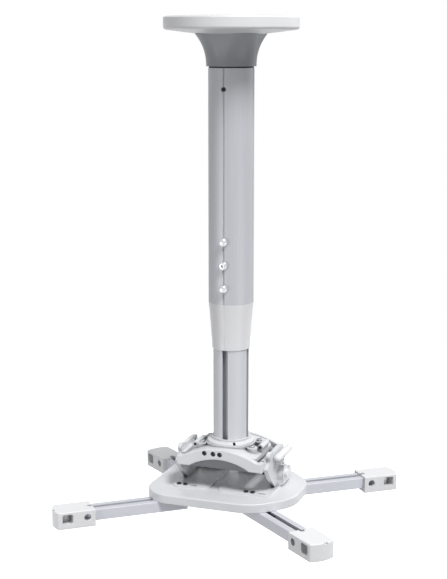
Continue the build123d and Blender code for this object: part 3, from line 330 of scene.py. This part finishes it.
def drawn_metal(name, value, edge, metallic, gloss, turn=0.0, along="Z", crevice_shade=0.6):
    """Extruded metal: fine drawing lines that run along the part, under a satin skin."""
    material, tree, shader, place = new_finish(name)
    stretch = (1, 1, 0.012) if along == "Z" else (0.012, 1, 1)
    lines_at = mapped(tree, mapped(tree, place, turn=(0, 0, -turn)), scale=stretch)
    lines = noise(tree, lines_at, 900, 3, 0.65)
    vary_colour(tree, shader, lines, value, 0.035)
    vary_roughness(tree, shader, lines, gloss - 0.06, gloss + 0.08)
    shader.inputs["Metallic"].default_value = metallic
    # Painted shade in the metal's own slots and grooves, down to the given share of the colour.
    paint_crevice_shade(tree, shader, reach=0.008, deepest_shade=crevice_shade)
    soft_edges(tree, shader, edge, lines, 0.10, 0.00008)
    return material


def turned_steel(name, value, edge, metallic=1.0, gloss=0.3):
    """Machined or plated steel with a slightly cloudy sheen."""
    material, tree, shader, place = new_finish(name)
    cloud = noise(tree, place, 260, 4)
    vary_colour(tree, shader, cloud, value, 0.05)
    vary_roughness(tree, shader, cloud, gloss - 0.06, gloss + 0.1)
    shader.inputs["Metallic"].default_value = metallic
    soft_edges(tree, shader, edge, noise(tree, place, 1500, 2), 0.08, 0.00005)
    return material


def soft_rubber(name, value, edge):
    """Dull dark rubber."""
    material, tree, shader, place = new_finish(name)
    vary_colour(tree, shader, noise(tree, place, 120, 3), value, 0.12)
    vary_roughness(tree, shader, noise(tree, place, 500, 2), 0.68, 0.82)
    soft_edges(tree, shader, edge, noise(tree, place, 1200, 2), 0.2, 0.0001)
    return material


def dress(nodes, material):
    """Gives carried-over nodes of the frame a new finish."""
    for name in nodes:
        mesh = frame["nodes"][name].data
        mesh.materials.clear()
        mesh.materials.append(material)


# Mesh helpers

def add_piece(name, mesh_builder, material, body, replaced=()):
    """Turns a bmesh into a finished piece that rides on a body."""
    bm = bmesh.new()
    mesh_builder(bm)
    bmesh.ops.remove_doubles(bm, verts=bm.verts, dist=WELD)
    bmesh.ops.recalc_face_normals(bm, faces=bm.faces)
    mesh = bpy.data.meshes.new(name)
    bm.to_mesh(mesh)
    bm.free()
    for polygon in mesh.polygons:
        polygon.use_smooth = True
    mesh.set_sharp_from_angle(angle=SHARP_ANGLE)
    mesh.materials.append(material)
    piece = bpy.data.objects.new(name, mesh)
    bpy.context.scene.collection.objects.link(piece)
    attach(piece, body)
    if replaced:
        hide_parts(*replaced)
    return piece


def spun_profile(bm, points, steps):
    """Spins a profile of (radius, height) points about the local Z axis and returns its vertices."""
    corners = [bm.verts.new((radius, 0, height)) for radius, height in points]
    edges = [bm.edges.new(pair) for pair in zip(corners, corners[1:])]
    before = set(bm.verts) - set(corners)
    bmesh.ops.spin(
        bm, geom=corners + edges, cent=(0, 0, 0), axis=(0, 0, 1),
        angle=2 * math.pi, steps=steps, use_merge=True)
    bmesh.ops.remove_doubles(
        bm, verts=[vert for vert in bm.verts if vert not in before], dist=SPIN_WELD)
    return [vert for vert in bm.verts if vert not in before]


def rounded_rim(radius, top, edge, steps):
    """Profile points that round the rim of a disc, from its side to its top."""
    points = []
    for step in range(steps + 1):
        angle = math.pi / 2 * step / steps
        points.append((radius - edge + edge * math.cos(angle), top - edge + edge * math.sin(angle)))
    return points


def level_loop(edges, height):
    """The edges that lie at one height."""
    return [edge for edge in edges
            if all(abs(vert.co.z - height) < SPIN_WELD for vert in edge.verts)]


def domed_screw(bm, matrix, head_r, head_t, dome, shank_length, across=None):
    """A domed screw above the local origin with a plain shank, and a hexagon socket if across is set."""
    tip = BOLT_SHANK_R / 5
    foot = SMALL_EDGE
    profile = [
        (0, -shank_length), (BOLT_SHANK_R - tip, -shank_length), (BOLT_SHANK_R, -shank_length + tip),
        (BOLT_SHANK_R, 0), (head_r - foot, 0), (head_r, foot)]
    profile += rounded_rim(head_r, head_t, dome, RIM_STEPS)
    if across is None:
        verts = spun_profile(bm, profile + [(0, head_t)], TURNED_STEPS)
        move_all(bm, verts, matrix)
        return
    verts = spun_profile(bm, profile, TURNED_STEPS)
    rim = level_loop([edge for edge in bm.edges if edge.is_boundary and edge.verts[0] in verts], head_t)
    hexagon = bmesh.ops.create_circle(bm, segments=6, radius=across / math.sqrt(3))["verts"]
    bmesh.ops.translate(bm, verts=hexagon, vec=(0, 0, head_t))
    mouth = [edge for edge in bm.edges if edge.verts[0] in hexagon and edge.verts[1] in hexagon]
    bmesh.ops.bridge_loops(bm, edges=rim + mouth)
    walls = bmesh.ops.extrude_edge_only(bm, edges=mouth)["geom"]
    floor_verts = [item for item in walls if isinstance(item, bmesh.types.BMVert)]
    floor_edges = [item for item in walls if isinstance(item, bmesh.types.BMEdge)
                   and item.verts[0] in floor_verts and item.verts[1] in floor_verts]
    bmesh.ops.translate(bm, verts=floor_verts, vec=(0, 0, -head_t * SOCKET_DEPTH_SHARE))
    bmesh.ops.contextual_create(bm, geom=floor_edges)
    move_all(bm, verts + hexagon + floor_verts, matrix)


def move_all(bm, verts, matrix):
    bmesh.ops.transform(bm, matrix=matrix, verts=verts)


def report_done(operator, text):
    operator.report({"INFO"}, text)
    return {"FINISHED"}


# Finishes of the carried-over parts

class MOUNT_OT_finish_ceiling(bpy.types.Operator):
    """Finish the ceiling plate, cover, socket and gasket"""
    bl_idname = "mount.finish_ceiling"
    bl_label = "Finish Ceiling Parts"

    def execute(self, context):
        sizes, colours = context.scene.mount_sizes, context.scene.mount_colours
        dress(["ceiling_cover"], moulded_plastic("cover_plastic", colours.cover, sizes.edge_round))
        steel = turned_steel("socket_steel", colours.steel, sizes.tube_edge)
        dress(["ceiling_plate", "tube_socket"], steel)
        dress(["tube_gasket"], soft_rubber("gasket_rubber", colours.rubber, sizes.tube_edge))
        return report_done(self, "Ceiling parts finished")


class MOUNT_OT_finish_neck(bpy.types.Operator):
    """Finish the flared neck"""
    bl_idname = "mount.finish_neck"
    bl_label = "Finish Neck"

    def execute(self, context):
        sizes, colours = context.scene.mount_sizes, context.scene.mount_colours
        # The neck's colour carries painted shade for the shadow under the cover.
        dress(["neck_fairing"], moulded_plastic("neck_plastic_and_shade", colours.neck, sizes.edge_round, 0.42))
        return report_done(self, "Neck finished")


class MOUNT_OT_finish_column(bpy.types.Operator):
    """Finish the outer tube, its collar and the inner column"""
    bl_idname = "mount.finish_column"
    bl_label = "Finish Column"

    def execute(self, context):
        sizes, colours = context.scene.mount_sizes, context.scene.mount_colours
        edge = sizes.tube_edge
        dress(["outer_tube"], drawn_metal("tube_skin", colours.tube, edge, metallic=0.1, gloss=0.45))
        dress(["inner_column"], drawn_metal("column_skin", colours.column, edge, metallic=0.15, gloss=0.5))
        moulding = moulded_plastic("collar_plastic", colours.moulding, edge, 0.35)
        dress(["tube_collar", "guide_bush"], moulding)
        return report_done(self, "Column finished")


class MOUNT_OT_finish_castings(bpy.types.Operator):
    """Finish the painted castings of the head and the base"""
    bl_idname = "mount.finish_castings"
    bl_label = "Finish Castings"

    def execute(self, context):
        sizes, colours = context.scene.mount_sizes, context.scene.mount_colours
        paint = powder_paint("cast_paint", colours.casting, sizes.edge_round)
        dress(["swivel_collar", "roll_saddle", "arched_yoke", "left_cheek", "right_cheek"], paint)
        dress(["release_housing", "base_plate"], paint)
        dress(["roll_shoe"], powder_paint("shoe_paint", colours.shoe, sizes.edge_round, 0.5))
        return report_done(self, "Castings finished")


class MOUNT_OT_finish_arms(bpy.types.Operator):
    """Finish the arms, feet and slide blocks"""
    bl_idname = "mount.finish_arms"
    bl_label = "Finish Arms and Feet"

    def execute(self, context):
        sizes, colours = context.scene.mount_sizes, context.scene.mount_colours
        moulding = moulded_plastic("foot_plastic", colours.moulding, sizes.edge_round, 0.36)
        block_steel = turned_steel("block_steel", colours.dark_steel, sizes.tube_edge, 0.6, 0.4)
        for name in ARMS:
            # Painted shade: the arms' slots and channels darken almost to black.
            skin = drawn_metal(
                f"arm_skin_{name}", colours.arm, sizes.tube_edge, metallic=0.12, gloss=0.45,
                turn=arm_turn(name), along="X", crevice_shade=0.10)
            dress([f"arm_{name}"], skin)
        dress([f"foot_{name}" for name in ARMS], moulding)
        dress([f"slide_block_{name}" for name in ARMS], block_steel)
        return report_done(self, "Arms and feet finished")


class MOUNT_OT_finish_hardware(bpy.types.Operator):
    """Finish the screws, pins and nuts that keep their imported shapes"""
    bl_idname = "mount.finish_hardware"
    bl_label = "Finish Hardware"

    def execute(self, context):
        sizes, colours = context.scene.mount_sizes, context.scene.mount_colours
        steel = turned_steel("plated_steel", colours.steel, sizes.tube_edge)
        dark = turned_steel("black_steel", colours.dark_steel, sizes.tube_edge, 0.7, 0.4)
        dress(["clamp_nuts", "swivel_retainer", "left_tilt_pin", "right_tilt_pin", "arm_screws"], steel)
        zinc = turned_steel("zinc_steel", colours.zinc, sizes.tube_edge, 0.7)
        dress(["saddle_screws", "tilt_guide_screw"], zinc)
        dress(["cradle_screws", "socket_screws", "tube_lock_screw", "swivel_set_screw"], dark)
        dress(["retainer_screws", "adjuster_screws", "shoulder_screws"], dark)
        return report_done(self, "Hardware finished")


class MOUNT_OT_finish_controls(bpy.types.Operator):
    """Finish the lever and the release button"""
    bl_idname = "mount.finish_controls"
    bl_label = "Finish Lever and Button"

    def execute(self, context):
        sizes, colours = context.scene.mount_sizes, context.scene.mount_colours
        moulding = moulded_plastic("control_plastic", colours.moulding, sizes.edge_round, 0.34)
        dress(["tilt_lever", "release_button"], moulding)
        return report_done(self, "Lever and button finished")


# New pieces

class MOUNT_OT_add_foot_screws(bpy.types.Operator):
    """Build the knurled screws that show in the windows of the feet"""
    bl_idname = "mount.add_foot_screws"
    bl_label = "Add Foot Screws"

    def execute(self, context):
        sizes, colours = context.scene.mount_sizes, context.scene.mount_colours
        # The screws' colour carries painted light that offsets the shade inside the windows.
        material = moulded_plastic("screw_plastic_and_light", colours.foot_screw, SMALL_EDGE, 0.34)
        for name in ARMS:
            node = f"foot_insert_{name}"
            centre, size = middle(node), extent(node)

            def build(bm):
                self.knurled_bush(bm, centre, size, sizes)

            add_piece(f"foot_screw_{name}", build, material, f"insert_{name}", (node,))
        return report_done(self, "Foot screws added")

    def knurled_bush(self, bm, centre, size, sizes):
        """A thumb nut: a ridged wheel between two plain rims, on a neck with a blind bore from below."""
        outer = size.x / 2
        neck = outer * SCREW_NECK_SHARE
        bore = outer * SCREW_BORE_SHARE
        groove = outer - SCREW_GROOVE_DEPTH
        top = size.z / 2
        seat = -top + SCREW_NECK_HEIGHT
        upper, lower = top - SCREW_RIM, seat + SCREW_RIM
        profile = [
            (0, top), (outer - SCREW_CHAMFER, top), (outer - SMALL_EDGE, top - SCREW_BREAK),
            (outer, top - SCREW_CHAMFER),
            (outer, upper + SCREW_BREAK), (groove, upper), (groove, upper - SCREW_GROOVE_FLAT),
            (outer, upper - SCREW_GROOVE_MOUTH),
            (outer, lower + SCREW_GROOVE_MOUTH), (groove, lower + SCREW_GROOVE_FLAT), (groove, lower),
            (outer, lower - SCREW_BREAK),
            (outer, seat + SCREW_CHAMFER), (outer - SCREW_FOOT_CHAMFER, seat), (neck, seat),
            (neck, -top + SCREW_BREAK), (neck - SCREW_BREAK, -top),
            (bore + SCREW_BREAK, -top), (bore, -top + SCREW_BREAK),
            (bore, top - SCREW_BORE_ROOF), (0, top - SCREW_BORE_TIP)]
        steps = 2 * sizes.knurl_count
        spun_profile(bm, profile, steps)
        for vert in bm.verts:
            reach = math.hypot(vert.co.x, vert.co.y)
            between = lower + SCREW_FOOT_CHAMFER < vert.co.z < upper - SCREW_FOOT_CHAMFER
            if between and reach > groove + SMALL_EDGE:
                place = round(math.atan2(vert.co.y, vert.co.x) / (2 * math.pi) * steps)
                if place % 2:
                    vert.co.x *= 1 - sizes.knurl_depth / reach
                    vert.co.y *= 1 - sizes.knurl_depth / reach
        move_all(bm, bm.verts, Matrix.Translation(centre))


class MOUNT_OT_add_clamp_bolts(bpy.types.Operator):
    """Build the three bolts that clamp the inner column"""
    bl_idname = "mount.add_clamp_bolts"
    bl_label = "Add Clamp Bolts"

    def execute(self, context):
        sizes, colours = context.scene.mount_sizes, context.scene.mount_colours
        plated = turned_steel("bolt_steel", colours.bolt, SMALL_EDGE, 0.55, 0.3)
        low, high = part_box("clamp_bolts")
        top, bottom = high[2] - sizes.bolt_radius, low[2] + sizes.bolt_radius
        seat = low[1] + sizes.bolt_height
        shank = high[1] - seat
        for label, height in (("top", top), ("middle", (top + bottom) / 2), ("bottom", bottom)):
            place = Matrix.Translation((0, seat, height)) @ Matrix.Rotation(math.pi / 2, 4, "X")

            def build(bm):
                if label == "middle":
                    head_r = SOCKET_BOLT_SHARE * sizes.bolt_radius
                    domed_screw(
                        bm, place, head_r, SOCKET_BOLT_HEIGHT, SOCKET_BOLT_DOME, shank, SOCKET_ACROSS)
                else:
                    domed_screw(bm, place, sizes.bolt_radius, sizes.bolt_height, BOLT_DOME, shank)

            add_piece(
                f"clamp_bolt_{label}", build, plated, "ceiling_tube", ("clamp_bolts",))
        return report_done(self, "Clamp bolts added")


# Stage

def seen_or_mirrored(tree):
    """One for rays that the camera, a gloss or a clear part sends, and nought for soft light."""
    rays = tree.nodes.new("ShaderNodeLightPath")
    mirrored = tree.nodes.new("ShaderNodeMath")
    mirrored.operation = "MAXIMUM"
    seen = tree.nodes.new("ShaderNodeMath")
    seen.operation = "MAXIMUM"
    tree.links.new(rays.outputs["Is Glossy Ray"], mirrored.inputs[0])
    tree.links.new(rays.outputs["Is Transmission Ray"], mirrored.inputs[1])
    tree.links.new(rays.outputs["Is Camera Ray"], seen.inputs[0])
    tree.links.new(mirrored.outputs["Value"], seen.inputs[1])
    return seen.outputs["Value"]


class MOUNT_OT_add_stage(bpy.types.Operator):
    """Build the floor, the lights, the world and the camera"""
    bl_idname = "mount.add_stage"
    bl_label = "Add Stage"

    def execute(self, context):
        self.add_floor(context)
        self.add_world(context)
        self.add_lights(context)
        self.add_camera(context)
        context.scene.view_settings.view_transform = "Standard"
        return report_done(self, "Stage added")

    def add_floor(self, context):
        bm = bmesh.new()
        bmesh.ops.create_circle(bm, cap_ends=True, segments=FLOOR_FACETS, radius=FLOOR_RADIUS)
        bmesh.ops.translate(bm, verts=bm.verts, vec=(0, 0, FLOOR_HEIGHT))
        mesh = bpy.data.meshes.new("studio_floor")
        bm.to_mesh(mesh)
        bm.free()
        floor = bpy.data.objects.new("studio_floor", mesh)
        context.scene.collection.objects.link(floor)
        material, tree, shader, place = new_finish("floor_paper")
        vary_colour(tree, shader, noise(tree, place, 4, 3), context.scene.mount_colours.floor, 0.01)
        shader.inputs["Roughness"].default_value = 0.9
        shader.inputs["Specular IOR Level"].default_value = 0.0
        glow = tree.nodes.new("ShaderNodeEmission")
        glow.inputs["Color"].default_value = WHITE
        glow.inputs["Strength"].default_value = PAPER_GLOW
        both = tree.nodes.new("ShaderNodeAddShader")
        dim = tree.nodes.new("ShaderNodeBsdfDiffuse")
        dim.inputs["Color"].default_value = PAPER_BOUNCE
        choose = tree.nodes.new("ShaderNodeMixShader")
        tree.links.new(shader.outputs["BSDF"], both.inputs[0])
        tree.links.new(glow.outputs["Emission"], both.inputs[1])
        tree.links.new(seen_or_mirrored(tree), choose.inputs["Fac"])
        tree.links.new(dim.outputs["BSDF"], choose.inputs[1])
        tree.links.new(both.outputs["Shader"], choose.inputs[2])
        tree.links.new(choose.outputs["Shader"], tree.nodes["Material Output"].inputs["Surface"])
        mesh.materials.append(material)

    def add_world(self, context):
        world = bpy.data.worlds.new("studio_world")
        context.scene.world = world
        world.use_nodes = True
        tree = world.node_tree
        tree.nodes.clear()
        output = tree.nodes.new("ShaderNodeOutputWorld")
        soft = tree.nodes.new("ShaderNodeBackground")
        soft.inputs["Color"].default_value = SKY_COLOUR
        soft.inputs["Strength"].default_value = SKY_STRENGTH
        white = tree.nodes.new("ShaderNodeBackground")
        white.inputs["Color"].default_value = WHITE
        white.inputs["Strength"].default_value = 1.0
        choose = tree.nodes.new("ShaderNodeMixShader")
        tree.links.new(seen_or_mirrored(tree), choose.inputs["Fac"])
        tree.links.new(soft.outputs["Background"], choose.inputs[1])
        tree.links.new(white.outputs["Background"], choose.inputs[2])
        tree.links.new(choose.outputs["Shader"], output.inputs["Surface"])

    def add_lights(self, context):
        for name, (place, aim, width, watts) in LAMPS.items():
            self.add_lamp(context, name, Vector(place), Vector(aim), width, watts)

    def add_lamp(self, context, name, place, aim, width, watts):
        light = bpy.data.lights.new(name, "AREA")
        light.shape = "DISK"
        light.size = width
        light.energy = watts
        lamp = bpy.data.objects.new(name, light)
        lamp.location = place
        lamp.rotation_euler = (aim - place).to_track_quat("-Z", "Y").to_euler()
        lamp.visible_camera = False
        context.scene.collection.objects.link(lamp)

    def add_camera(self, context):
        sizes = context.scene.mount_sizes
        data = bpy.data.cameras.new("photo_camera")
        data.lens = sizes.camera_lens
        data.sensor_fit = "AUTO"
        data.sensor_width = 36.0
        data.clip_start = 0.05
        data.clip_end = 50.0
        camera = bpy.data.objects.new("photo_camera", data)
        camera.location = (CAMERA_X, CAMERA_Y, sizes.camera_height)
        camera.rotation_euler = (CAMERA_PITCH, 0, CAMERA_YAW)
        context.scene.collection.objects.link(camera)
        context.scene.camera = camera


PIECES = (
    MOUNT_OT_finish_ceiling,
    MOUNT_OT_finish_neck,
    MOUNT_OT_finish_column,
    MOUNT_OT_finish_castings,
    MOUNT_OT_finish_arms,
    MOUNT_OT_finish_hardware,
    MOUNT_OT_finish_controls,
    MOUNT_OT_add_foot_screws,
    MOUNT_OT_add_clamp_bolts,
    MOUNT_OT_add_stage,
)


class MOUNT_PT_sidebar(bpy.types.Panel):
    """Lists the steps and their sizes and colours"""
    bl_label = "Ceiling Mount"
    bl_idname = "MOUNT_PT_sidebar"
    bl_space_type = "VIEW_3D"
    bl_region_type = "UI"
    bl_category = "Ceiling Mount"

    def draw(self, context):
        layout = self.layout
        for group in (context.scene.mount_sizes, context.scene.mount_colours):
            box = layout.box()
            for key in type(group).__annotations__:
                box.prop(group, key)
        for operator in PIECES:
            layout.operator(operator.bl_idname)


CLASSES = (MountSizes, MountColours, *PIECES, MOUNT_PT_sidebar)


def register():
    for item in CLASSES:
        bpy.utils.register_class(item)
    bpy.types.Scene.mount_sizes = bpy.props.PointerProperty(type=MountSizes)
    bpy.types.Scene.mount_colours = bpy.props.PointerProperty(type=MountColours)


def unregister():
    del bpy.types.Scene.mount_colours
    del bpy.types.Scene.mount_sizes
    for item in reversed(CLASSES):
        bpy.utils.unregister_class(item)


def main():
    register()
    bpy.ops.mount.finish_ceiling()
    bpy.ops.mount.finish_neck()
    bpy.ops.mount.finish_column()
    bpy.ops.mount.finish_castings()
    bpy.ops.mount.finish_arms()
    bpy.ops.mount.finish_hardware()
    bpy.ops.mount.finish_controls()
    bpy.ops.mount.add_foot_screws()
    bpy.ops.mount.add_clamp_bolts()
    bpy.ops.mount.add_stage()


if __name__ == "__main__":
    main()
